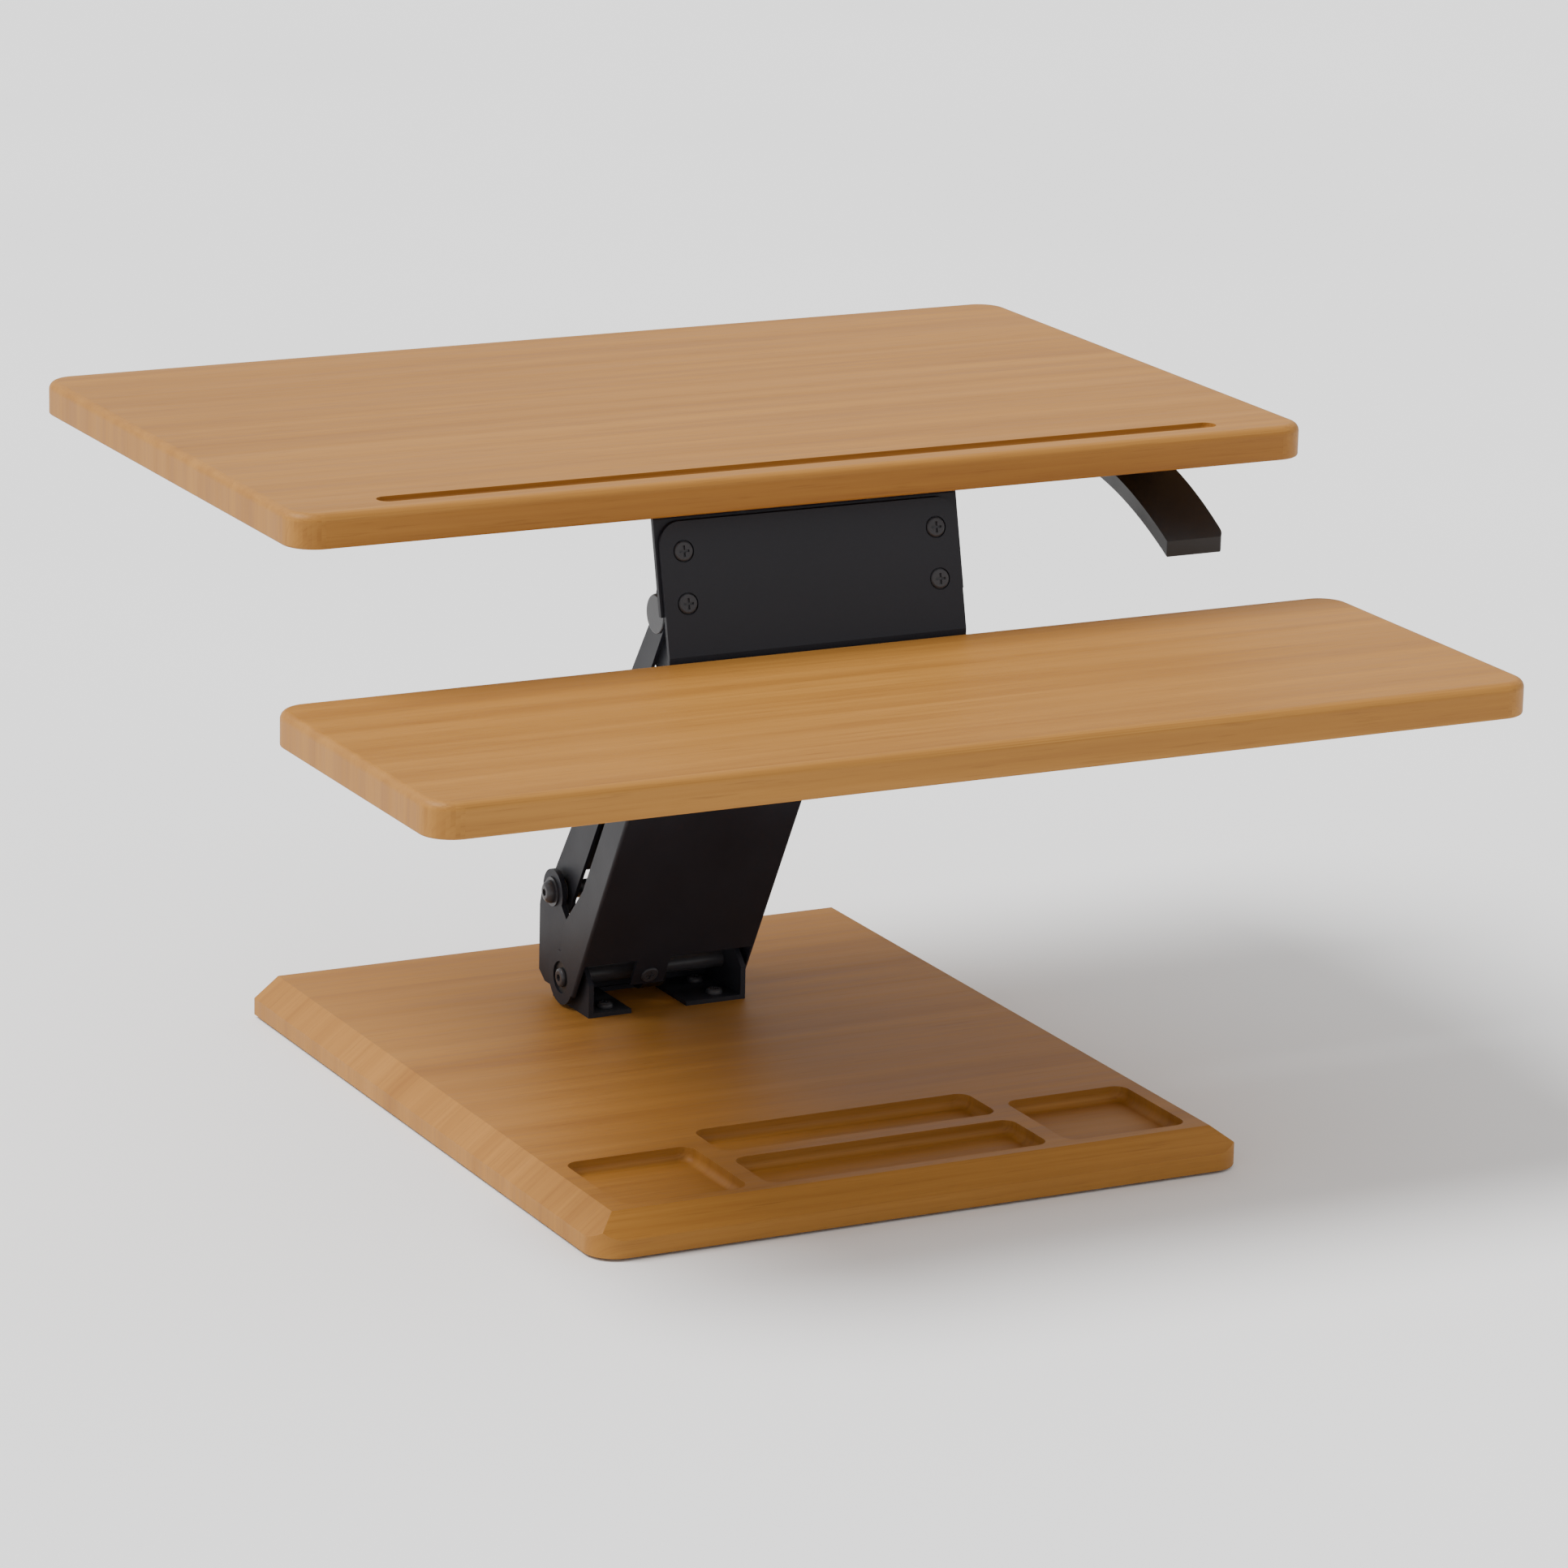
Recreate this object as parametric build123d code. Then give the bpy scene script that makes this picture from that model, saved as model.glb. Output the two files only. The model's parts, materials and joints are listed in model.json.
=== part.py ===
from build123d import *
from math import atan2, cos, degrees, hypot, radians, sin
import os

# Sit-stand desk converter. A base board carries a leaning parallelogram arm, which holds a deck
# and a keyboard tray level at any height. Millimetres, +Z up, the user sits on the -Y side.
# The origin is on the floor under the middle of the whole object, with the deck at its
# rest height.

# ---------------------------------------------------------------- driving dimensions
FOOT_H = 2.0                         # rubber feet under the base board
BASE_W, BASE_T = 447.4, 24.6
BASE_Y0, BASE_Y1 = -254.5, 277.3
BASE_TOP = FOOT_H + BASE_T
BEVEL_W, BEVEL_H = 17.1, 13.4        # bevel round the front and both sides of the base board
PLAN_R = 20.0                        # plan radius of the boards' corners
ARRIS_TOP, ARRIS_LOW = 5.5, 1.5      # rounded arrises of the deck and the tray

DECK_W, DECK_T = 700.0, 21.7
DECK_Y0, DECK_Y1 = -89.3, 333.7
DECK_TOP = 431.9
DECK_LOW = DECK_TOP - DECK_T

TRAY_W, TRAY_T = 737.3, 22.0
TRAY_Y0, TRAY_Y1 = -333.7, -95.0
TRAY_TOP = 320.4
TRAY_LOW = TRAY_TOP - TRAY_T

LINK_L, LINK_LEAN = 256.0, 31.5      # pivot distance of both links, and their lean at rest
PIVOT_A = (143.4, 46.5)              # front link's lower pivot, as (y, z)
PIVOT_B = (169.4, 97.5)              # rear link's lower pivot
SHAFT_R, PIN_FIT = 6.0, 0.05         # pivot shafts, and their radial running clearance
BORE_R = SHAFT_R + PIN_FIT

# half widths of the nested U-shaped parts, as (inner face, outer face)
FRONT_X = (60.5, 63.0)
WALL_X = (53.5, 57.0)
REAR_X = (47.5, 50.0)
CHEEK_X = (42.0, 45.5)

PANEL_LEAN, PANEL_D, PANEL_T = 29.0, 20.5, 2.5   # front link's front panel, seen from its pivot
PLATE_LEAN, PLATE_T, PLATE_HALF_W = 13.5, 3.0, 103.0

os.makedirs("parts", exist_ok=True)


# ---------------------------------------------------------------- small helpers
def lean_dir(lean):
    """Direction (y, z) of a line that leans forward from vertical by this many degrees."""
    return (-sin(radians(lean)), cos(radians(lean)))


def along(start, lean, s, d=0.0):
    """Point s up a leaning line from start, and d behind it, as (y, z)."""
    u = lean_dir(lean)
    return (start[0] + s * u[0] + d * u[1], start[1] + s * u[1] - d * u[0])


def slab(sketch, x0, x1):
    """Extrude a (y, z) sketch from x0 to x1."""
    return extrude(Plane.YZ.offset(min(x0, x1)) * sketch, abs(x1 - x0))


def both(sketch, inner, outer):
    """The same plate on the left and on the right."""
    return [slab(sketch, inner, outer), slab(sketch, -outer, -inner)]


def outline(*points):
    return make_face(Polyline(*points, close=True))


def disc(centre, radius):
    return Pos(*centre) * Circle(radius)


def hull(*discs):
    return make_hull([e for d in discs for e in d.edges()])


def rod(centre, radius, x0, x1):
    """Round bar along X."""
    return slab(disc(centre, radius), x0, x1)


def fused(pieces):
    whole = pieces[0]
    for piece in pieces[1:]:
        whole = whole + piece
    return whole


def write(name, solids):
    shape = Compound(children=solids) if isinstance(solids, list) else solids
    export_step(shape, f"parts/{name}.step")


def board(width, y0, y1, low, thick):
    """Wood board with rounded corners and softened arrises."""
    depth, middle = y1 - y0, (y0 + y1) / 2
    body = extrude(Pos(0, middle, low) * RectangleRounded(width, depth, PLAN_R), thick)
    faces = body.faces().sort_by(Axis.Z)
    body = fillet(faces[-1].edges(), ARRIS_TOP)
    return fillet(body.faces().sort_by(Axis.Z)[0].edges(), ARRIS_LOW)


def pan_screw(head_r, head_h, shank_r, shank_l):
    """Cross-recessed pan head screw, head up, its underside at z = 0."""
    head = fillet(Cylinder(head_r, head_h, align=BOTTOM).edges().group_by(Axis.Z)[-1], head_h * 0.7)
    shank = Pos(0, 0, -shank_l) * Cylinder(shank_r, shank_l, align=BOTTOM)
    cross = Box(head_r * 1.1, head_r * 0.24, head_h) + Box(head_r * 0.24, head_r * 1.1, head_h)
    return head + shank - Pos(0, 0, head_h * 0.95) * cross


def washer(outer, inner, thick):
    return Cylinder(outer, thick, align=BOTTOM) - Cylinder(inner, thick, align=BOTTOM)


BOTTOM = (Align.CENTER, Align.CENTER, Align.MIN)
FORWARD = Rotation(90, 0, 0)          # turns +Z into -Y
DOWN = Rotation(180, 0, 0)

PIVOT_A_TOP = along(PIVOT_A, LINK_LEAN, LINK_L)
PIVOT_B_TOP = along(PIVOT_B, LINK_LEAN, LINK_L)

# ---------------------------------------------------------------- base board, feet
RECESS_DEPTH, RECESS_R, COVE_R = 9.0, 9.0, 5.0
SIDE_RECESS = (86.0, 84.0)            # width and depth in plan of the two square recesses
SIDE_RECESS_X, SIDE_RECESS_Y = 153.0, -187.6
PEN_RECESSES = [                      # (centre x, centre y, width, depth in plan)
    (-SIDE_RECESS_X, SIDE_RECESS_Y, *SIDE_RECESS),
    (SIDE_RECESS_X, SIDE_RECESS_Y, *SIDE_RECESS),
    (0.0, -203.6, 195.0, 52.0),
    (0.0, -142.4, 193.0, 44.5),
]


def recess_tool(x, y, width, depth):
    """Shallow tray with a coved foot, to be cut out of the board."""
    body = extrude(RectangleRounded(width, depth, RECESS_R), RECESS_DEPTH + 1.0)
    body = fillet(body.faces().sort_by(Axis.Z)[0].edges(), COVE_R)
    return Pos(x, y, BASE_TOP - RECESS_DEPTH) * body


def make_base_board():
    """Board with a bevel along its front and sides, and pen recesses near the front."""
    depth, middle = BASE_Y1 - BASE_Y0, (BASE_Y0 + BASE_Y1) / 2
    body = Pos(0, middle, FOOT_H) * Box(BASE_W, depth, BASE_T, align=BOTTOM)
    uprights = body.edges().filter_by(Axis.Z).sort_by(Axis.Y)
    body = fillet(uprights[:2], PLAN_R)
    shoulder, inner_y0 = BASE_TOP - BEVEL_H, BASE_Y0 + BEVEL_W
    low = Pos(0, middle, shoulder) * Rectangle(BASE_W, depth)
    high_middle = (inner_y0 + BASE_Y1) / 2
    high = Pos(0, high_middle, BASE_TOP) * Rectangle(BASE_W - 2 * BEVEL_W, BASE_Y1 - inner_y0)
    envelope = Box(BASE_W, depth, BASE_T - BEVEL_H, align=BOTTOM)
    body = body & (Pos(0, middle, FOOT_H) * envelope + loft([low, high]))
    for place in PEN_RECESSES:
        body -= recess_tool(*place)
    for x, y in BRACKET_BOLTS:
        body -= Pos(x, y, BASE_TOP - INSERT_DEPTH) * Cylinder(BOLT_R, INSERT_DEPTH, align=BOTTOM)
    return body


def make_feet():
    foot = Cylinder(11.0, FOOT_H, align=BOTTOM)
    xs = (-BASE_W / 2 + 32.0, BASE_W / 2 - 32.0)
    ys = (BASE_Y0 + 32.0, BASE_Y1 - 28.0)
    return [Pos(x, y, 0) * foot for x in xs for y in ys]


# ---------------------------------------------------------------- base bracket
FLOOR_T = 3.0
FLOOR_Y0, FLOOR_Y1 = 112.0, 167.0
BACK_PLATE_Z = 60.0                  # top of the plate that ties the walls together at the back
BOLT_R, INSERT_DEPTH = 3.0, 14.0
BRACKET_BOLTS = [(x, y) for x in (-40.0, 40.0) for y in (123.5, 152.0)]
WALL_NOSE_Z = 53.0                   # height of the walls' front corner
EAR_R = 15.0
WALL_BACK_Y = 189.2
WALL_FOOT_Z = 39.0                   # the walls' rear corner stands clear of the board
TAB_X = (-22.3, 1.4)                 # the front link's middle tab, which dips into the floor
FLOOR_CUT_X, FLOOR_CUT_Y1 = (-26.0, 14.0), 162.0   # room for the tab and the gas spring's eye


def make_base_bracket():
    """U-shaped bracket: a bolted floor and two walls, each with an ear for the rear pivot."""
    floor_z1 = BASE_TOP + FLOOR_T
    ear = disc(PIVOT_B, EAR_R)
    body_sketch = outline(
        (FLOOR_Y0, BASE_TOP),
        (FLOOR_Y0, WALL_NOSE_Z - 4.0),
        (FLOOR_Y0 + 4.0, WALL_NOSE_Z),
        (PIVOT_B[0] - EAR_R * 0.9, PIVOT_B[1] - EAR_R * 0.4),
        (PIVOT_B[0], PIVOT_B[1] + EAR_R * 0.3),
        (WALL_BACK_Y - 4.0, PIVOT_B[1]),
        (WALL_BACK_Y, PIVOT_B[1] - 14.0),
        (WALL_BACK_Y, WALL_FOOT_Z),
        (WALL_BACK_Y - 9.0, WALL_FOOT_Z - 6.0),
        (FLOOR_Y1, WALL_FOOT_Z - 6.0),
        (FLOOR_Y1, BASE_TOP),
    )
    wall = body_sketch + ear - disc(PIVOT_A, BORE_R) - disc(PIVOT_B, BORE_R)
    floor_profile = outline(
        (FLOOR_Y0, BASE_TOP), (FLOOR_Y1, BASE_TOP), (FLOOR_Y1, floor_z1), (FLOOR_Y0, floor_z1)
    )
    back_profile = outline(
        (FLOOR_Y1 - FLOOR_T, BASE_TOP), (FLOOR_Y1, BASE_TOP),
        (FLOOR_Y1, BACK_PLATE_Z), (FLOOR_Y1 - FLOOR_T, BACK_PLATE_Z),
    )
    base = [slab(profile, -WALL_X[1], WALL_X[1]) for profile in (floor_profile, back_profile)]
    body = fused(both(wall, *WALL_X) + base)
    x0, x1 = FLOOR_CUT_X
    cut = Box(x1 - x0, FLOOR_CUT_Y1 - FLOOR_Y0 + 5.0, 2 * FLOOR_T, align=BOTTOM)
    body -= Pos((x0 + x1) / 2, (FLOOR_Y0 - 5.0 + FLOOR_CUT_Y1) / 2, BASE_TOP - 1.0) * cut
    for x, y in BRACKET_BOLTS:
        body -= Pos(x, y, BASE_TOP) * Cylinder(BOLT_R + 0.3, 3 * FLOOR_T)
    return body


def make_bracket_bolts():
    bolt = pan_screw(5.5, 3.2, BOLT_R - 0.05, FLOOR_T + INSERT_DEPTH - 1.0)
    return [Pos(x, y, BASE_TOP + FLOOR_T) * bolt for x, y in BRACKET_BOLTS]


# ---------------------------------------------------------------- links
LOBE_R = 18.0
STRAP_W = 25.0                       # how far the front link's side straps reach behind its panel
PANEL_S0, PANEL_S1 = 29.5, 195.0     # the panel's ends, measured up from below its pivot
TAB_S0 = 6.5
SCREW_S = 15.0                       # the tab's screw
BUSH_R, BUSH_T = 10.8, 1.0            # the bush sits back in the lobe, round the bolt


def panel_point(s, d):
    """Point s up the front panel's line and d behind its outer face."""
    return along(PIVOT_A, PANEL_LEAN, s, d - PANEL_D)


def panel_strip(s0, s1, d0, d1):
    return outline(panel_point(s0, d0), panel_point(s1, d0), panel_point(s1, d1), panel_point(s0, d1))


def make_front_link():
    """Outer U-shaped link: a bent front panel with a strap along each side."""
    strap = outline(
        panel_point(1.0, 0.0),
        panel_point(PANEL_S1 + 8.0, 0.0),
        along(PIVOT_A_TOP, LINK_LEAN, -2.0, -13.0),
        along(PIVOT_A_TOP, LINK_LEAN, -2.0, 13.0),
        panel_point(PANEL_S1 - 25.0, STRAP_W - 2.0),
        panel_point(75.0, STRAP_W),
        panel_point(34.0, PANEL_D + LOBE_R * 0.82),
        panel_point(0.0, PANEL_D + LOBE_R * 0.2),
    )
    flange = strap + disc(PIVOT_A, LOBE_R) + disc(PIVOT_A_TOP, 13.0)
    flange -= disc(PIVOT_A, BUSH_R)
    flange -= disc(PIVOT_A_TOP, BORE_R)
    panel = slab(panel_strip(PANEL_S0, PANEL_S1, 0.0, PANEL_T), -FRONT_X[1], FRONT_X[1])
    tab = slab(panel_strip(TAB_S0, PANEL_S0 + 1.0, 0.0, PANEL_T), *TAB_X)
    body = fused(both(flange, *FRONT_X) + [panel, tab])
    bends = [e for e in body.edges() if is_outer_bend(e)]
    body = fillet(bends, PANEL_T * 0.9)
    return body - tab_screw_bore()


def is_outer_bend(edge):
    """True for the long outer corner between the panel and a strap."""
    c = edge.center()
    face = panel_point(0.0, 0.0)
    n = lean_dir(PANEL_LEAN)
    depth = (c.Y - face[0]) * n[1] - (c.Z - face[1]) * n[0]
    return abs(abs(c.X) - FRONT_X[1]) < 0.01 and abs(depth) < 0.01 and edge.length > 60.0


def at_tab(shape):
    """Place a shape on the tab's outer face, its +Z pointing out of the face."""
    y, z = panel_point(SCREW_S, 0.0)
    return Pos(sum(TAB_X) / 2, y, z) * Rotation(90 + PANEL_LEAN, 0, 0) * shape


def tab_screw_bore():
    return at_tab(Cylinder(2.1, 3 * PANEL_T))


PAD_T = 1.5


def make_stop_pad():
    """Rubber pad behind the tab, which meets the base board when the deck is fully lowered."""
    pad = Box(TAB_X[1] - TAB_X[0] - 5.0, 13.0, PAD_T, align=BOTTOM)
    return at_tab(Pos(0, 0, -PANEL_T - PAD_T) * (pad - Cylinder(2.1, 4 * PAD_T)))


def make_stop_pad_screw():
    return at_tab(pan_screw(6.0, 1.5, 2.0, PANEL_T + PAD_T))


def make_lower_bushes():
    ring = disc(PIVOT_A, BUSH_R) - disc(PIVOT_A, BORE_R)
    return both(ring, FRONT_X[0], FRONT_X[0] + BUSH_T)


WEB_S = (2.0, 200.0)                 # the rear link's back web, measured up from its lower pivot
REAR_LUG_R, WEB_T = 13.0, 2.5
REAR_BACK = (16.0, 4.0)              # how far the flanges reach behind the pivot line, low and top
REAR_FRONT = (-15.0, -12.9)          # and in front of it


def rear_edge(s):
    """Distance of the rear link's back edge behind its pivot line."""
    return REAR_BACK[0] + (REAR_BACK[1] - REAR_BACK[0]) * s / LINK_L


def make_rear_link():
    """Inner U-shaped link: two tapering flanges joined by a web along their back edge."""
    taper = outline(
        along(PIVOT_B, LINK_LEAN, 0.0, REAR_FRONT[0]),
        along(PIVOT_B, LINK_LEAN, LINK_L, REAR_FRONT[1]),
        along(PIVOT_B, LINK_LEAN, LINK_L, REAR_BACK[1]),
        along(PIVOT_B, LINK_LEAN, 0.0, REAR_BACK[0]),
    )
    flange = taper + disc(PIVOT_B, REAR_BACK[0]) + disc(PIVOT_B_TOP, REAR_LUG_R)
    flange -= disc(PIVOT_B, BORE_R)
    flange -= disc(PIVOT_B_TOP, BORE_R)
    s0, s1 = WEB_S
    web = outline(
        along(PIVOT_B, LINK_LEAN, s0, rear_edge(s0) - 0.2),
        along(PIVOT_B, LINK_LEAN, s1, rear_edge(s1) - 0.2),
        along(PIVOT_B, LINK_LEAN, s1, rear_edge(s1) - WEB_T),
        along(PIVOT_B, LINK_LEAN, s0, rear_edge(s0) - WEB_T),
    )
    return fused(both(flange, *REAR_X) + [slab(web, -REAR_X[1], REAR_X[1])])


# ---------------------------------------------------------------- pivot shafts and their ends
HEAD_R, HEAD_H, WASHER_R, WASHER_T = 7.6, 5.0, 9.8, 1.2
LOBE_HEAD_X = FRONT_X[0] + BUSH_T + 0.3   # the lower front bolt's heads lie in the lobes


def dome_heads(centre, x_face, head_r, head_h):
    """A pair of dome heads outside |x| = x_face."""
    dome = fillet(Cylinder(head_r, head_h, align=BOTTOM).edges().group_by(Axis.Z)[-1], head_h * 0.85)
    socket = Pos(0, 0, head_h - 2.0) * extrude(RegularPolygon(2.6, 6), 3.0)
    dome = dome - socket
    right = Pos(x_face, *centre) * Rotation(0, 90, 0) * dome
    left = Pos(-x_face, *centre) * Rotation(0, -90, 0) * dome
    return [right, left]


def make_shaft(centre, x_end):
    return rod(centre, SHAFT_R, -x_end, x_end)


def make_washers(centre, x_face):
    ring = disc(centre, WASHER_R) - disc(centre, BORE_R)
    return both(ring, x_face, x_face + WASHER_T)


def make_caps(centre, x_face, radius):
    """Flat caps pressed on the ends of a shaft, with a softened rim."""
    cap = Cylinder(radius, WASHER_T, align=BOTTOM)
    cap = fillet(cap.edges().group_by(Axis.Z)[-1], WASHER_T * 0.7)
    return [Pos(side * x_face, *centre) * Rotation(0, side * 90, 0) * cap for side in (1, -1)]


def make_spacers(centre, inner_x, outer_x):
    ring = disc(centre, 9.5) - disc(centre, BORE_R)
    return both(ring, inner_x, outer_x)


# ---------------------------------------------------------------- deck, tray and their brackets
GROOVE_W, GROOVE_DEPTH, GROOVE_Y = 14.0, 5.0, -65.6
GROOVE_X = (-287.0, 293.0)


def make_deck_board():
    body = board(DECK_W, DECK_Y0, DECK_Y1, DECK_LOW, DECK_T)
    length, middle = GROOVE_X[1] - GROOVE_X[0], sum(GROOVE_X) / 2
    groove = extrude(SlotOverall(length, GROOVE_W), GROOVE_DEPTH + 1.0)
    groove = fillet(groove.faces().sort_by(Axis.Z)[0].edges(), GROOVE_DEPTH * 0.6)
    body -= Pos(middle, GROOVE_Y, DECK_TOP - GROOVE_DEPTH) * groove
    for x, y in DECK_SCREWS + LEVER_SCREWS:
        body -= Pos(x, y, DECK_LOW) * Cylinder(WOOD_SCREW_R, WOOD_DEPTH, align=BOTTOM)
    return body


def make_keyboard_tray():
    body = board(TRAY_W, TRAY_Y0, TRAY_Y1, TRAY_LOW, TRAY_T)
    for x, y in TRAY_SCREWS:
        body -= Pos(x, y, TRAY_LOW) * Cylinder(WOOD_SCREW_R, WOOD_DEPTH, align=BOTTOM)
    return body


WOOD_SCREW_R, WOOD_DEPTH = 2.2, 14.0
PLATE_FRONT = (-74.2, 394.3)         # a point on the tray plate's outer face, as (y, z)
PLATE_TOP_Z, PLATE_BEND_Z = 403.0, 322.0
PLATE_CORNER_R = 14.0
TRAY_FLANGE_Y = -240.0
PLATE_SCREW_X, PLATE_SCREW_Z = 87.4, (353.6, 385.0)
PLATE_SCREW_R = 2.5
SEAT_R, SEAT_DEPTH = 7.0, 1.2        # round seats sunk into the plate for the screw heads
TRAY_SCREWS = [(x, y) for x in (-85.0, 85.0) for y in (-215.0, -125.0)]
DECK_FLANGE_T = 3.0
DECK_FLANGE_END_Y = 170.0            # rear end of the flange under the deck
DECK_SCREWS = [(x, y) for x in (-85.0, 85.0) for y in (-38.0, 60.0, 150.0)]


def plate_y(z, depth=0.0):
    """y of the tray plate's face at height z, moved back by depth along its normal."""
    slope = sin(radians(PLATE_LEAN)) / cos(radians(PLATE_LEAN))
    y = PLATE_FRONT[0] - (PLATE_FRONT[1] - max(z, PLATE_BEND_Z)) * slope
    return y + depth / (cos(radians(PLATE_LEAN)) if z >= PLATE_BEND_Z else 1.0)


def make_tray_bracket():
    """Leaning plate behind the tray, bent forward under it."""
    low, back = TRAY_LOW - PLATE_T, PLATE_T
    profile = outline(
        (plate_y(PLATE_TOP_Z), PLATE_TOP_Z),
        (plate_y(PLATE_BEND_Z), PLATE_BEND_Z),
        (plate_y(PLATE_BEND_Z), TRAY_LOW),
        (TRAY_FLANGE_Y, TRAY_LOW),
        (TRAY_FLANGE_Y, low),
        (plate_y(PLATE_BEND_Z) + back, low),
        (plate_y(PLATE_BEND_Z) + back, PLATE_BEND_Z),
        (plate_y(PLATE_TOP_Z, back), PLATE_TOP_Z),
    )
    body = slab(profile, -PLATE_HALF_W, PLATE_HALF_W)
    height = PLATE_TOP_Z - low + 2 * PLATE_CORNER_R
    rounded = RectangleRounded(2 * PLATE_HALF_W, height, PLATE_CORNER_R)
    body &= extrude(Plane.XZ * Pos(0, PLATE_TOP_Z - height / 2) * rounded, 300.0)
    for x, y in TRAY_SCREWS:
        body -= Pos(x, y, TRAY_LOW) * Cylinder(WOOD_SCREW_R + 0.3, 3 * PLATE_T)
    seat = Pos(0, 0, -SEAT_DEPTH) * Cylinder(SEAT_R, 2 * PLATE_T, align=BOTTOM)
    for hole in on_plate(Cylinder(PLATE_SCREW_R + 0.05, 4 * PLATE_T) + seat):
        body -= hole
    return body


def on_plate(shape):
    """Copies of a shape at the tray plate's four screws, their +Z out of its face."""
    turn = Rotation(90 - PLATE_LEAN, 0, 0)
    return [
        Pos(x, plate_y(z), z) * turn * shape
        for z in PLATE_SCREW_Z
        for x in (-PLATE_SCREW_X, PLATE_SCREW_X)
    ]


def make_deck_bracket():
    """Folded bracket under the deck: a front flange, a top flange and two pivot cheeks."""
    top, under = DECK_LOW, DECK_LOW - DECK_FLANGE_T
    gap = PLATE_T                    # the tray plate lies flat on the front flange
    low_z = 346.0
    front = outline(
        (plate_y(top - 6.0, gap), top - 6.0),
        (plate_y(low_z, gap), low_z),
        (plate_y(low_z, 2 * gap), low_z),
        (plate_y(under, 2 * gap), under),
        (DECK_FLANGE_END_Y, under),
        (DECK_FLANGE_END_Y, top),
        (plate_y(top - 6.0, gap) + 4.0, top),
    )
    half_w = PLATE_HALF_W + 2.0
    body = slab(front, -half_w, half_w)
    cheek = outline(
        (plate_y(under, gap), under),
        (plate_y(low_z, gap), low_z),
        along(PIVOT_A_TOP, LINK_LEAN, -6.0, -13.0),
        along(PIVOT_A_TOP, LINK_LEAN, -14.0, 0.0),
        (PIVOT_A_TOP[0] + 14.0, PIVOT_A_TOP[1] + 2.0),
        (PIVOT_B_TOP[0] + 10.0, PIVOT_B_TOP[1] - 36.0),
        (PIVOT_B_TOP[0] + 14.0, PIVOT_B_TOP[1]),
        (PIVOT_B_TOP[0] + 3.0, PIVOT_B_TOP[1] + 40.0),
        (PIVOT_B_TOP[0] + 3.0, under),
    )
    lugs = disc(PIVOT_A_TOP, 14.0) + disc(PIVOT_B_TOP, 14.0)
    cheek = cheek + lugs - disc(PIVOT_A_TOP, BORE_R) - disc(PIVOT_B_TOP, BORE_R)
    body = fused([body] + both(cheek, *CHEEK_X))
    for x, y in DECK_SCREWS:
        body -= Pos(x, y, DECK_LOW) * Cylinder(WOOD_SCREW_R + 0.3, 3 * DECK_FLANGE_T)
    for screw in on_plate(Cylinder(PLATE_SCREW_R + 0.05, 6 * PLATE_T)):
        body -= screw
    return body


def make_plate_screws():
    screw = pan_screw(SEAT_R - 0.7, SEAT_DEPTH + 0.9, PLATE_SCREW_R, 2 * PLATE_T + 3.0)
    return on_plate(Pos(0, 0, -SEAT_DEPTH) * screw)


def hung_screws(places, flange_z):
    """Pan head wood screws driven up through a flange whose underside is at flange_z."""
    screw = pan_screw(5.0, 2.6, WOOD_SCREW_R - 0.05, WOOD_DEPTH + 1.0)
    return [Pos(x, y, flange_z) * DOWN * screw for x, y in places]


# ---------------------------------------------------------------- gas spring
SPRING_TOP = PIVOT_B_TOP
SPRING_LOW = PIVOT_A
SPRING_LEAN = degrees(atan2(-(SPRING_TOP[0] - SPRING_LOW[0]), SPRING_TOP[1] - SPRING_LOW[1]))
SPRING_LEN = hypot(SPRING_TOP[0] - SPRING_LOW[0], SPRING_TOP[1] - SPRING_LOW[1])
TUBE_R, TUBE_BORE, ROD_R = 14.0, 12.0, 5.0
EYE_R, EYE_SLACK, EYE_HALF_W = 13.5, 4.5, 8.0
TUBE_S0, TUBE_S1 = 22.0, 178.0
HEAD_RADIUS, HEAD_HALF_W = 11.0, 14.0
PISTON_S = TUBE_S1 - 30.0            # leaves room for the rod to come out as the deck goes up


def on_spring(s, shape):
    """Place a shape s up the gas spring's axis, its +Z along the axis."""
    y, z = along(SPRING_LOW, SPRING_LEAN, s)
    return Pos(0, y, z) * Rotation(SPRING_LEAN, 0, 0) * shape


def make_spring_tube():
    tube = Cylinder(TUBE_R, TUBE_S1 - TUBE_S0, align=BOTTOM)
    tube -= Pos(0, 0, 4.0) * Cylinder(TUBE_BORE, TUBE_S1 - TUBE_S0, align=BOTTOM)
    neck = on_spring(10.0, Cylinder(7.0, TUBE_S0 - 9.0, align=BOTTOM))
    eye = rod(SPRING_LOW, EYE_R, -EYE_HALF_W, EYE_HALF_W)
    body = on_spring(TUBE_S0, tube) + neck + eye
    return body - rod(SPRING_LOW, SHAFT_R + EYE_SLACK, -20.0, 20.0)


def make_spring_gland():
    ring = washer(TUBE_BORE, ROD_R + PIN_FIT, 10.0)
    return on_spring(TUBE_S1 - 10.0, ring)


def make_spring_rod():
    length = SPRING_LEN - HEAD_RADIUS * 0.5 - PISTON_S
    body = Cylinder(ROD_R, length, align=BOTTOM)
    bore = Pos(0, 0, 30.0) * Cylinder(1.55, length, align=BOTTOM)
    return on_spring(PISTON_S, body - bore) - rod(SPRING_TOP, HEAD_RADIUS, -30.0, 30.0)


def make_spring_piston():
    return on_spring(PISTON_S, washer(TUBE_BORE - PIN_FIT, ROD_R, 6.0))


def make_valve_pin():
    s0 = PISTON_S + 32.0
    return on_spring(s0, Cylinder(1.5, SPRING_LEN - HEAD_RADIUS - s0, align=BOTTOM))


def make_spring_head():
    """Round cross block which carries the rod's end on the upper rear shaft."""
    body = rod(SPRING_TOP, HEAD_RADIUS, -HEAD_HALF_W, HEAD_HALF_W)
    return body - rod(SPRING_TOP, BORE_R, -20.0, 20.0)


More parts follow.
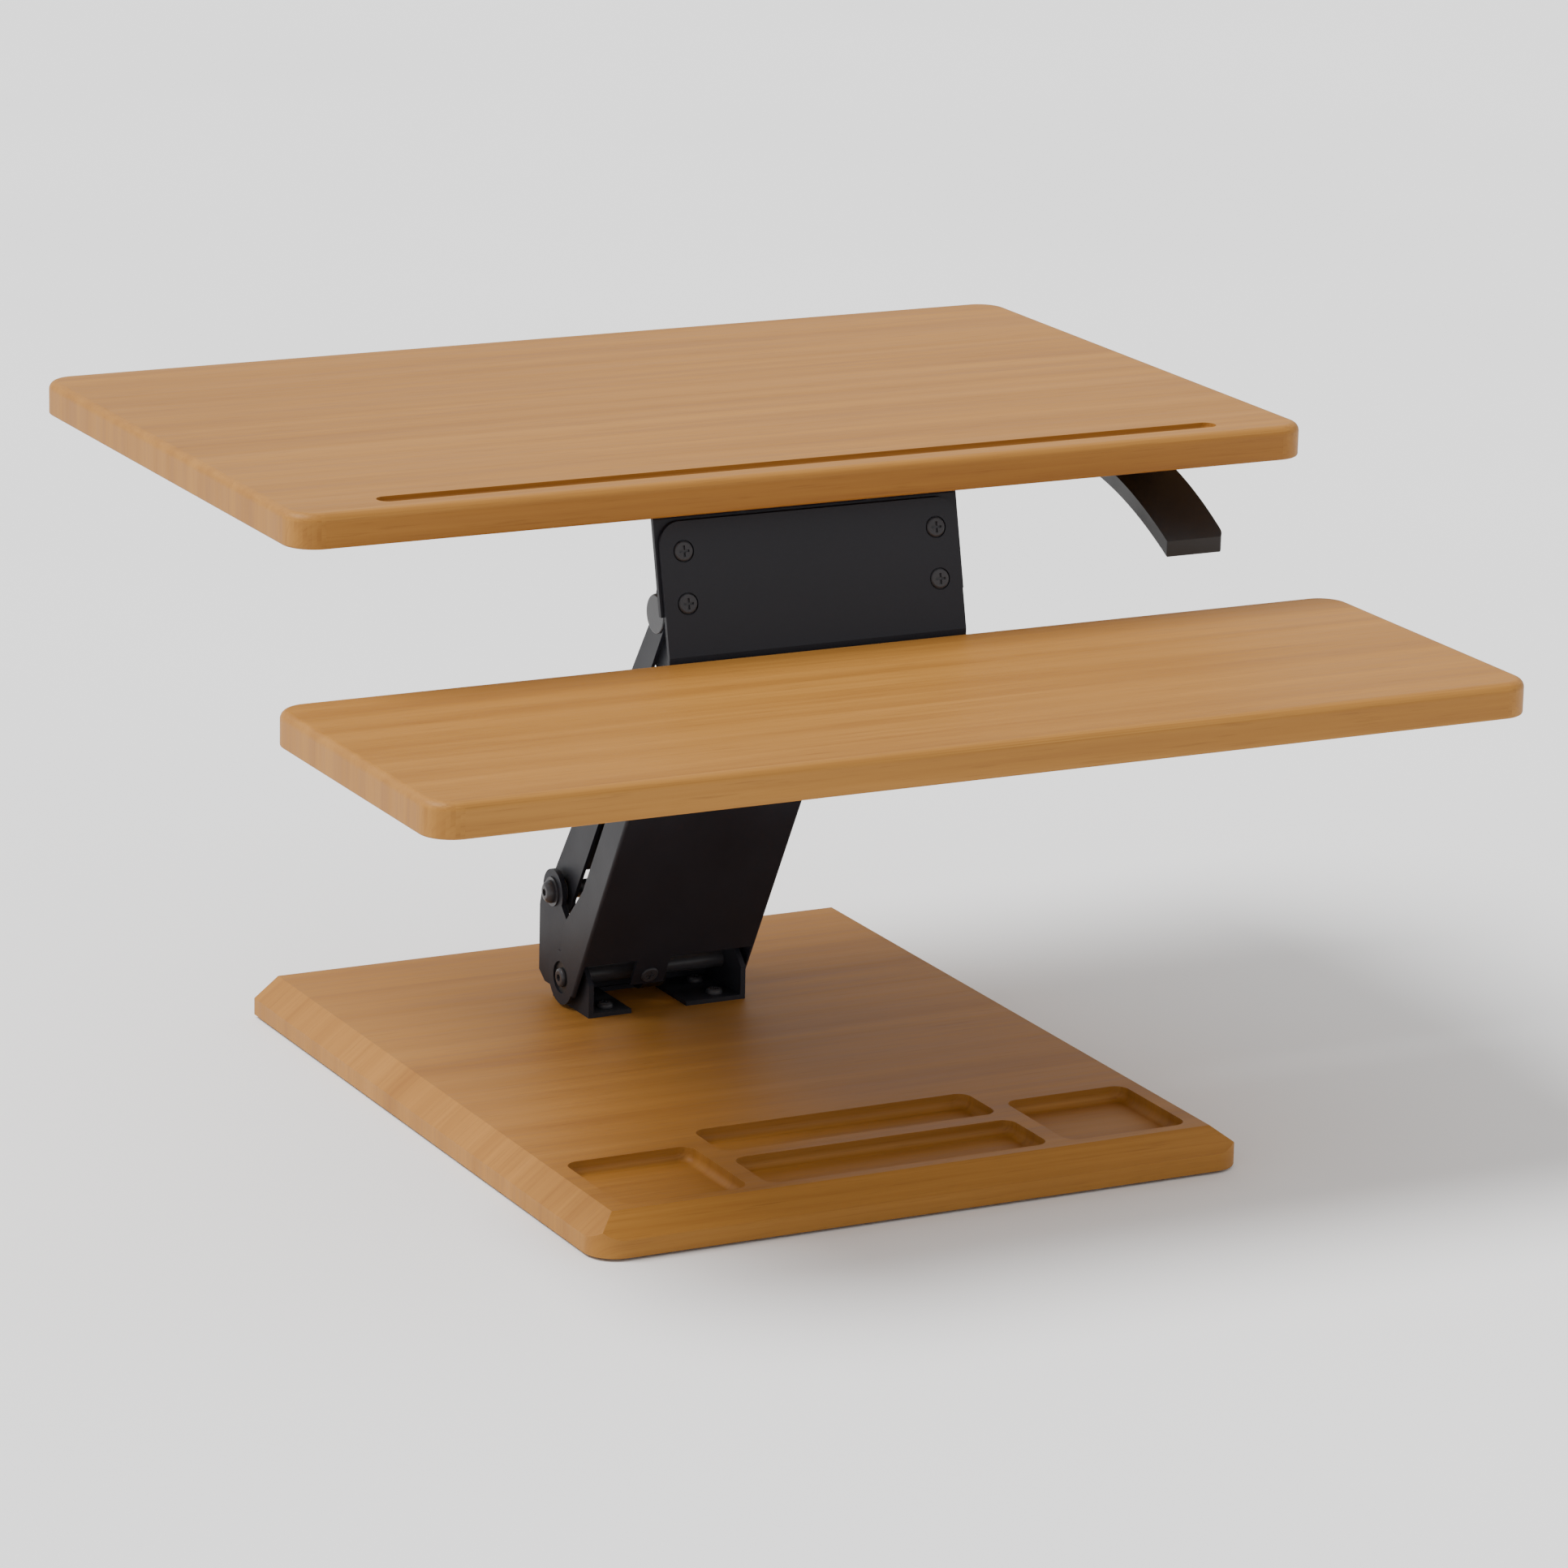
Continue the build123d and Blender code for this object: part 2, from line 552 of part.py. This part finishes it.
# ---------------------------------------------------------------- hand lever and release cable
LEVER_X = (247.0, 294.0)
LEVER_PIN = (24.0, 398.5)            # pivot of the hand lever, as (y, z)
LEVER_T = 10.0
LEVER_TIP_X = (247.0, 289.0)
LEVER_TIP_Y = -90.0
EAR_T = 3.0
LEVER_SCREWS = [(x, y) for x in (238.0, 303.0) for y in (14.0, 40.0)]
PIN_R = 3.0


def lever_line(y):
    """Height of the paddle's top face: a gentle downward curve towards the tip."""
    run = (LEVER_PIN[0] - y) / (LEVER_PIN[0] - LEVER_TIP_Y)
    return LEVER_PIN[1] + 3.0 - 11.0 * run - 26.0 * run ** 2


def make_hand_lever():
    """Curved paddle on a hub, narrowing towards a rounded tip."""
    ys = [LEVER_PIN[0] - 4.0 - k * (LEVER_PIN[0] - 4.0 - LEVER_TIP_Y) / 4 for k in range(5)]
    top = Spline(*[(y, lever_line(y)) for y in ys])
    low = Spline(*[(y, lever_line(y) - LEVER_T) for y in reversed(ys)])
    ends = [Line(top @ 1, low @ 0), Line(low @ 1, top @ 0)]
    side = slab(make_face([top, low] + ends), *LEVER_X)
    plan = make_face(Polyline(
        (LEVER_X[0], LEVER_PIN[0]), (LEVER_X[1], LEVER_PIN[0]),
        (LEVER_TIP_X[1], LEVER_TIP_Y - 2.0), (LEVER_TIP_X[0], LEVER_TIP_Y - 2.0), close=True,
    ))
    for corner, radius in ((0, 3.0), (-1, 9.0)):
        tip = plan.vertices().sort_by(Axis.Y)[:2].sort_by(Axis.X)[corner]
        plan = fillet([tip], radius)
    paddle = side & extrude(Pos(0, 0, 330.0) * plan, 90.0)
    hub = rod(LEVER_PIN, 6.5, *LEVER_X)
    return paddle + hub - rod(LEVER_PIN, PIN_R + PIN_FIT, LEVER_X[0] - 5.0, LEVER_X[1] + 5.0)


def make_lever_bracket():
    """U-shaped bracket screwed under the deck, with an ear each side of the lever."""
    ear = hull(disc(LEVER_PIN, 7.0), disc((LEVER_PIN[0] - 3.0, DECK_LOW - 3.5), 3.4),
               disc((LEVER_PIN[0] + 16.0, DECK_LOW - 3.5), 3.4)) - disc(LEVER_PIN, PIN_R)
    x0, x1 = LEVER_X
    ears = [slab(ear, x0 - 1.0 - EAR_T, x0 - 1.0), slab(ear, x1 + 1.0, x1 + 1.0 + EAR_T)]
    plate = Box(82.0, 42.0, 2.0, align=BOTTOM)
    body = fused(ears + [Pos((x0 + x1) / 2, LEVER_PIN[0] + 3.0, DECK_LOW - 2.0) * plate])
    for x, y in LEVER_SCREWS:
        body -= Pos(x, y, DECK_LOW) * Cylinder(WOOD_SCREW_R + 0.3, 12.0)
    return body


def make_lever_pin():
    x0, x1 = LEVER_X
    return rod(LEVER_PIN, PIN_R, x0 - 1.0 - EAR_T - 1.5, x1 + 1.0 + EAR_T + 1.5)


ROCKER_X = (15.5, 19.0)
ROCKER_TIP = (PIVOT_B_TOP[0] + 4.0, PIVOT_B_TOP[1] + 42.0)
CABLE_R = 2.5
STOP_Y = 78.0                        # the cable stop behind the rocker
CABLE_END_X = ROCKER_X[1] + 1.6      # the wire passes beside the rocker, clear of its swing
CABLE_Z = DECK_LOW - 12.0
CABLE_ROUTE = [
    (270.0, 46.0, CABLE_Z),
    (272.0, 88.0, CABLE_Z),
    (240.0, 122.0, CABLE_Z),
    (190.0, 134.0, CABLE_Z),
    (134.0, 138.0, CABLE_Z),
    (80.0, 138.0, CABLE_Z - 3.0),
    (38.0, 132.0, CABLE_Z - 14.0),
    (CABLE_END_X, 110.0, ROCKER_TIP[1] + 6.0),
    (CABLE_END_X, STOP_Y + 0.5, ROCKER_TIP[1]),
]
CLIP_SPOTS = [(190.0, 134.0)]


def make_release_rocker():
    """Lever beside the spring head which the cable pulls to open the spring's valve."""
    arm = hull(disc(PIVOT_B_TOP, 9.5), disc(ROCKER_TIP, 4.0)) - disc(PIVOT_B_TOP, BORE_R)
    return slab(arm, *ROCKER_X)


def bend_radii(route):
    """One radius for each inner corner, as large as its two runs allow."""
    points = [Vector(*p) for p in route]
    radii = []
    for before, here, after in zip(points, points[1:], points[2:]):
        run_in, run_out = here - before, after - here
        turn = radians(run_in.get_angle(run_out))
        radii.append(0.45 * min(run_in.length, run_out.length) / sin(turn / 2) * cos(turn / 2))
    return radii


def make_release_cable(radius=CABLE_R):
    """Sheathed cable from the hand lever to the release rocker."""
    radii = bend_radii(CABLE_ROUTE)
    path = FilletPolyline(*CABLE_ROUTE, radius=radii)
    start = Plane(origin=path @ 0, z_dir=path % 0)
    return sweep(start * Circle(radius), path=path)


def make_cable_stop():
    """Small angle on the deck bracket that holds the end of the cable's sheath."""
    x, z = CABLE_END_X, ROCKER_TIP[1]
    height = DECK_LOW - DECK_FLANGE_T - z + 8.0
    plate = Pos(x, STOP_Y - 1.5, z - 8.0) * Box(14.0, 3.0, height, align=BOTTOM)
    return plate - Pos(x, STOP_Y, z) * FORWARD * Cylinder(1.2, 12.0)


def make_cable_wire():
    """Bare wire from the cable stop to just past the rocker's tip, close beside it."""
    length = STOP_Y - ROCKER_TIP[0] + 4.0
    return Pos(CABLE_END_X, STOP_Y, ROCKER_TIP[1]) * FORWARD * Cylinder(0.8, length, align=BOTTOM)


def make_cable_clips():
    """Plastic clips that hold the cable up against the deck."""
    clips = []
    for x, y in CLIP_SPOTS:
        block = Pos(x, y, CABLE_Z - 5.0) * Box(9.0, 16.0, DECK_LOW - CABLE_Z + 5.0, align=BOTTOM)
        clips.append(block - make_release_cable(CABLE_R + 0.05))
    return clips


def make_lever_spring():
    """Return spring of the hand lever: a coil round the pin, beside the hub."""
    coil = rod(LEVER_PIN, 5.2, LEVER_X[1] + 0.2, LEVER_X[1] + 0.8)
    return coil - rod(LEVER_PIN, PIN_R + PIN_FIT, LEVER_X[1], LEVER_X[1] + 1.0)


# ---------------------------------------------------------------- all pieces
PIECES = {
    "base_board": make_base_board(),
    "base_feet": make_feet(),
    "base_bracket": make_base_bracket(),
    "base_bracket_bolts": make_bracket_bolts(),
    "lower_front_shaft": make_shaft(PIVOT_A, LOBE_HEAD_X),
    "lower_front_bolt_heads": dome_heads(PIVOT_A, LOBE_HEAD_X, 6.4, 2.6),
    "lower_rear_shaft": make_shaft(PIVOT_B, WALL_X[1] + WASHER_T),
    "lower_rear_bolt_heads": dome_heads(PIVOT_B, WALL_X[1] + WASHER_T, HEAD_R, HEAD_H),
    "lower_rear_washers": make_washers(PIVOT_B, WALL_X[1]),
    "lower_rear_spacers": make_spacers(PIVOT_B, REAR_X[1] + 0.3, WALL_X[0]),
    "lower_front_spacers": make_spacers(PIVOT_A, WALL_X[1], FRONT_X[0] - 0.3),
    "front_link": make_front_link(),
    "lower_front_bushes": make_lower_bushes(),
    "stop_pad": make_stop_pad(),
    "stop_pad_screw": make_stop_pad_screw(),
    "rear_link": make_rear_link(),
    "upper_front_shaft": make_shaft(PIVOT_A_TOP, FRONT_X[1] + 0.3),
    "upper_front_bolt_heads": dome_heads(PIVOT_A_TOP, FRONT_X[1] + 0.3, HEAD_R, 4.0),
    "upper_front_spacers": make_spacers(PIVOT_A_TOP, CHEEK_X[1], FRONT_X[0] - 0.3),
    "upper_rear_shaft": make_shaft(PIVOT_B_TOP, REAR_X[1] + 0.3),
    "upper_rear_caps": make_caps(PIVOT_B_TOP, REAR_X[1] + 0.3, 12.6),
    "deck_board": make_deck_board(),
    "deck_bracket": make_deck_bracket(),
    "deck_bracket_screws": hung_screws(DECK_SCREWS, DECK_LOW - DECK_FLANGE_T),
    "tray_bracket": make_tray_bracket(),
    "tray_bracket_screws": make_plate_screws(),
    "keyboard_tray": make_keyboard_tray(),
    "tray_screws": hung_screws(TRAY_SCREWS, TRAY_LOW - PLATE_T),
    "spring_tube": make_spring_tube(),
    "spring_gland": make_spring_gland(),
    "spring_rod": make_spring_rod(),
    "spring_piston": make_spring_piston(),
    "valve_pin": make_valve_pin(),
    "spring_head": make_spring_head(),
    "release_rocker": make_release_rocker(),
    "release_cable": make_release_cable(),
    "cable_wire": make_cable_wire(),
    "cable_stop": make_cable_stop(),
    "cable_clips": make_cable_clips(),
    "hand_lever": make_hand_lever(),
    "lever_bracket": make_lever_bracket(),
    "lever_bracket_screws": hung_screws(LEVER_SCREWS, DECK_LOW - 2.0),
    "lever_pin": make_lever_pin(),
    "lever_return_spring": make_lever_spring(),
}

print("cable bend radii", [round(r) for r in bend_radii(CABLE_ROUTE)])
for name, solids in PIECES.items():
    write(name, solids)
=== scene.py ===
import json
from math import cos, radians, sin

import bmesh
import bpy
from mathutils import Matrix, Vector

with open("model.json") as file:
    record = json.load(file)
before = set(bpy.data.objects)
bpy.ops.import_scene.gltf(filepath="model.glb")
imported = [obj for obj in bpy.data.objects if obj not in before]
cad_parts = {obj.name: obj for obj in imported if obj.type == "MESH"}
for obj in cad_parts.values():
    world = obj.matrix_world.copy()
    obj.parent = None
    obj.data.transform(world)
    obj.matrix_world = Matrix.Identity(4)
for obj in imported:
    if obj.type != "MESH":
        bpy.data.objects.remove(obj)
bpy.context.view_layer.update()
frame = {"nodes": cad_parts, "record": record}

# Looks for the sit-stand desk converter. Everything is in metres, in the frame of the CAD model.

nodes = {name: bpy.data.objects[name] for name in frame["nodes"]}


# ---------------------------------------------------------------- node-tree helpers
MIX_COLOUR_INPUTS = (0, 6, 7)        # the Mix node's factor, colour A and colour B
MIX_COLOUR_OUTPUT = 2


class Tree:
    """A material's node tree with short calls for the nodes used here."""

    def __init__(self, name):
        self.material = bpy.data.materials.new(name)
        self.material.use_nodes = True
        self.tree = self.material.node_tree
        self.shader = self.tree.nodes["Principled BSDF"]

    def add(self, kind, **values):
        node = self.tree.nodes.new(kind)
        for key, value in values.items():
            if hasattr(node, key):
                setattr(node, key, value)
            else:
                node.inputs[key.replace("_", " ").title()].default_value = value
        return node

    def link(self, source, target):
        self.tree.links.new(source, target)

    def maths(self, operation, a, b=None):
        node = self.add("ShaderNodeMath", operation=operation)
        for socket, value in zip(node.inputs, (a, b)):
            if hasattr(value, "is_linked"):
                self.link(value, socket)
            elif value is not None:
                socket.default_value = value
        return node.outputs[0]

    def combine(self, x, y, z=0.0):
        node = self.add("ShaderNodeCombineXYZ")
        for socket, value in zip(node.inputs, (x, y, z)):
            if hasattr(value, "is_linked"):
                self.link(value, socket)
            else:
                socket.default_value = value
        return node.outputs[0]

    def noise(self, vector, scale, detail=4.0, roughness=0.5, distortion=0.0):
        node = self.add("ShaderNodeTexNoise", scale=scale, detail=detail)
        node.inputs["Roughness"].default_value = roughness
        node.inputs["Distortion"].default_value = distortion
        self.link(vector, node.inputs["Vector"])
        return node.outputs["Fac"]

    def ramp(self, value, *stops):
        node = self.add("ShaderNodeValToRGB")
        elements = node.color_ramp.elements
        while len(elements) < len(stops):
            elements.new(0.5)
        for element, (place, colour) in zip(elements, stops):
            element.position = place
            element.color = (*colour, 1.0)
        self.link(value, node.inputs["Fac"])
        return node.outputs["Color"]

    def grey_ramp(self, value, *stops):
        return self.ramp(value, *[(place, (level,) * 3) for place, level in stops])

    def mix(self, factor, socket_a, colour_b):
        node = self.add("ShaderNodeMix", data_type="RGBA")
        factor_in, a_in, b_in = (node.inputs[i] for i in MIX_COLOUR_INPUTS)
        self.link(factor, factor_in)
        self.link(socket_a, a_in)
        b_in.default_value = (*colour_b, 1.0)
        return node.outputs[MIX_COLOUR_OUTPUT]

    def bump(self, height, strength, distance):
        node = self.add("ShaderNodeBump")
        node.inputs["Strength"].default_value = strength
        node.inputs["Distance"].default_value = distance
        self.link(height, node.inputs["Height"])
        self.link(node.outputs["Normal"], self.shader.inputs["Normal"])

    def place(self):
        """Object coordinates, which are the CAD frame's, as three sockets and a vector."""
        coords = self.add("ShaderNodeTexCoord").outputs["Object"]
        split = self.add("ShaderNodeSeparateXYZ")
        self.link(coords, split.inputs[0])
        return coords, split.outputs


# ---------------------------------------------------------------- materials
HONEY_DARK = (0.26, 0.108, 0.019)
HONEY_MID = (0.32, 0.143, 0.027)
HONEY_LIGHT = (0.38, 0.177, 0.037)
PORE = (0.17, 0.068, 0.013)
WOOD_SPECULAR, COAT_SPECULAR = 0.22, 0.3


def wood_foil(name, shift):
    """Honey wood foil: long grain along X, which turns down over the boards' ends."""
    t = Tree(name)
    _, (x, y, z) = t.place()
    facing = t.add("ShaderNodeSeparateXYZ")
    t.link(t.add("ShaderNodeNewGeometry").outputs["True Normal"], facing.inputs[0])
    front = t.maths("ABSOLUTE", facing.outputs[1])
    ends = t.maths("ABSOLUTE", facing.outputs[0])
    across = t.maths("ADD", y, t.maths("MULTIPLY", z, front))
    run = t.maths("ADD", x, t.maths("MULTIPLY", z, ends))
    long_grain = t.combine(t.maths("MULTIPLY", run, 0.9), t.maths("MULTIPLY", across, 34.0), shift)
    figure = t.noise(long_grain, 1.5, detail=3.0, roughness=0.55, distortion=0.35)
    streaks = t.noise(long_grain, 6.0, detail=6.0, roughness=0.62, distortion=0.12)
    fine = t.combine(t.maths("MULTIPLY", run, 22.0), t.maths("MULTIPLY", across, 620.0), shift)
    pores = t.noise(fine, 1.0, detail=3.0, roughness=0.6)
    tone = t.maths("ADD", t.maths("MULTIPLY", figure, 0.55), t.maths("MULTIPLY", streaks, 0.45))
    colour = t.ramp(tone, (0.30, HONEY_DARK), (0.50, HONEY_MID), (0.70, HONEY_LIGHT))
    pore_mask = t.grey_ramp(pores, (0.57, 0.0), (0.74, 0.42))
    colour = t.mix(pore_mask, colour, PORE)
    t.link(colour, t.shader.inputs["Base Color"])
    gloss = t.grey_ramp(streaks, (0.3, 0.46), (0.7, 0.58))
    t.link(gloss, t.shader.inputs["Roughness"])
    t.shader.inputs["Specular IOR Level"].default_value = WOOD_SPECULAR
    t.bump(pores, 0.10, 0.0002)
    return t.material


def powder_coat(name, colour, lift, rough=(0.42, 0.58), grain=900.0):
    """Satin powder coat: a fine orange-peel skin with slightly uneven gloss."""
    t = Tree(name)
    coords, _ = t.place()
    cloud = t.noise(coords, 9.0, detail=5.0, roughness=0.6)
    skin = t.noise(coords, grain, detail=2.0)
    t.link(t.ramp(cloud, (0.3, colour), (0.7, lift)), t.shader.inputs["Base Color"])
    t.link(t.grey_ramp(cloud, (0.3, rough[0]), (0.7, rough[1])), t.shader.inputs["Roughness"])
    t.shader.inputs["Specular IOR Level"].default_value = COAT_SPECULAR
    t.bump(skin, 0.22, 0.0002)
    return t.material


def turned_steel(name, colour, lift):
    """Turned bar: fine rings round the X axis and faint stains."""
    t = Tree(name)
    coords, (x, y, z) = t.place()
    rings = t.noise(t.combine(t.maths("MULTIPLY", x, 2400.0), y, z), 1.0, detail=3.0)
    stains = t.noise(coords, 60.0, detail=4.0)
    t.link(t.ramp(stains, (0.3, colour), (0.75, lift)), t.shader.inputs["Base Color"])
    t.link(t.grey_ramp(rings, (0.3, 0.22), (0.7, 0.42)), t.shader.inputs["Roughness"])
    t.shader.inputs["Metallic"].default_value = 1.0
    t.bump(rings, 0.15, 0.0001)
    return t.material


def moulded(name, colour, lift, rough, grain):
    """Moulded nylon or rubber with a fine spark texture."""
    t = Tree(name)
    coords, _ = t.place()
    spark = t.noise(coords, grain, detail=3.0, roughness=0.7)
    cloud = t.noise(coords, 30.0, detail=3.0)
    t.link(t.ramp(cloud, (0.3, colour), (0.7, lift)), t.shader.inputs["Base Color"])
    t.link(t.grey_ramp(cloud, (0.3, rough - 0.06), (0.7, rough + 0.06)), t.shader.inputs["Roughness"])
    t.bump(spark, 0.3, 0.00015)
    return t.material


WOODS = {
    "base_board": wood_foil("base_wood", 3.0),
    "deck_board": wood_foil("deck_wood", 7.4),
    "keyboard_tray": wood_foil("tray_wood", 12.9),
}
FINISHES = {
    "black_steel": powder_coat("black_powder_coat", (0.010, 0.011, 0.016), (0.017, 0.018, 0.025)),
    "black_fastener": powder_coat(
        "black_oxide", (0.022, 0.022, 0.026), (0.05, 0.05, 0.056), rough=(0.24, 0.38), grain=2500.0
    ),
    "bright_steel": turned_steel("bright_bar", (0.36, 0.36, 0.37), (0.56, 0.56, 0.57)),
    "spring_black": powder_coat(
        "spring_enamel", (0.012, 0.012, 0.013), (0.02, 0.02, 0.021), rough=(0.16, 0.26), grain=500.0
    ),
    "black_nylon": moulded("black_nylon", (0.008, 0.008, 0.009), (0.014, 0.014, 0.016), 0.48, 1500.0),
    "black_rubber": moulded("black_rubber", (0.012, 0.012, 0.012), (0.022, 0.022, 0.022), 0.78, 800.0),
}


def dress(obj, material):
    obj.data.materials.clear()
    obj.data.materials.append(material)


def dress_nodes():
    for part in frame["record"]["subparts"]:
        name = part["node"]
        dress(nodes[name], WOODS.get(name) or FINISHES[part["material_slot"]])


# ---------------------------------------------------------------- studio
CAMERA_AT = Vector((-1.83849, -3.61748, 1.33569))
CAMERA_AZ, CAMERA_EL, CAMERA_ROLL = radians(-27.25), radians(15.52), radians(1.326)
LENS, SENSOR = 152.5, 36.0
SKY_STRENGTH = 0.9
SUN_TOWARDS = (-1.3, 0.4, 2.1)
SUN_STRENGTH, SUN_SPREAD = 4.4, radians(28)
FLOOR_HALF_SIZE = 9.0


def add_camera():
    back = Vector((
        sin(CAMERA_AZ) * cos(CAMERA_EL), -cos(CAMERA_AZ) * cos(CAMERA_EL), sin(CAMERA_EL)
    ))
    right = (-back).cross(Vector((0, 0, 1))).normalized()
    up = right.cross(-back)
    c, s = cos(CAMERA_ROLL), sin(CAMERA_ROLL)
    side, top = c * right + s * up, c * up - s * right
    data = bpy.data.cameras.new("camera")
    data.lens, data.sensor_width = LENS, SENSOR
    camera = bpy.data.objects.new("camera", data)
    axes = Matrix((side, top, back)).transposed().to_4x4()
    camera.matrix_world = Matrix.Translation(CAMERA_AT) @ axes
    bpy.context.scene.collection.objects.link(camera)
    bpy.context.scene.camera = camera


def add_sun(towards, strength, spread):
    """Soft, even light from the direction of a point above the left and the back."""
    data = bpy.data.lights.new("sky_panel", "SUN")
    data.energy, data.angle = strength, spread
    light = bpy.data.objects.new("sky_panel", data)
    light.rotation_euler = Vector(towards).to_track_quat("Z", "Y").to_euler()
    bpy.context.scene.collection.objects.link(light)


def add_studio():
    mesh = bpy.data.meshes.new("floor")
    bm = bmesh.new()
    bmesh.ops.create_grid(bm, x_segments=1, y_segments=1, size=FLOOR_HALF_SIZE)
    bm.to_mesh(mesh)
    bm.free()
    floor = bpy.data.objects.new("floor", mesh)
    bpy.context.scene.collection.objects.link(floor)
    t = Tree("floor_paint")
    coords, _ = t.place()
    cloud = t.noise(coords, 1.3, detail=2.0)
    t.link(t.grey_ramp(cloud, (0.3, 0.86), (0.7, 0.89)), t.shader.inputs["Base Color"])
    t.shader.inputs["Roughness"].default_value = 0.9
    dress(floor, t.material)
    world = bpy.data.worlds.new("studio")
    world.use_nodes = True
    world.node_tree.nodes["Background"].inputs["Color"].default_value = (1.0, 1.0, 1.0, 1.0)
    world.node_tree.nodes["Background"].inputs["Strength"].default_value = SKY_STRENGTH
    bpy.context.scene.world = world
    add_sun(SUN_TOWARDS, SUN_STRENGTH, SUN_SPREAD)


add_camera()
add_studio()
dress_nodes()
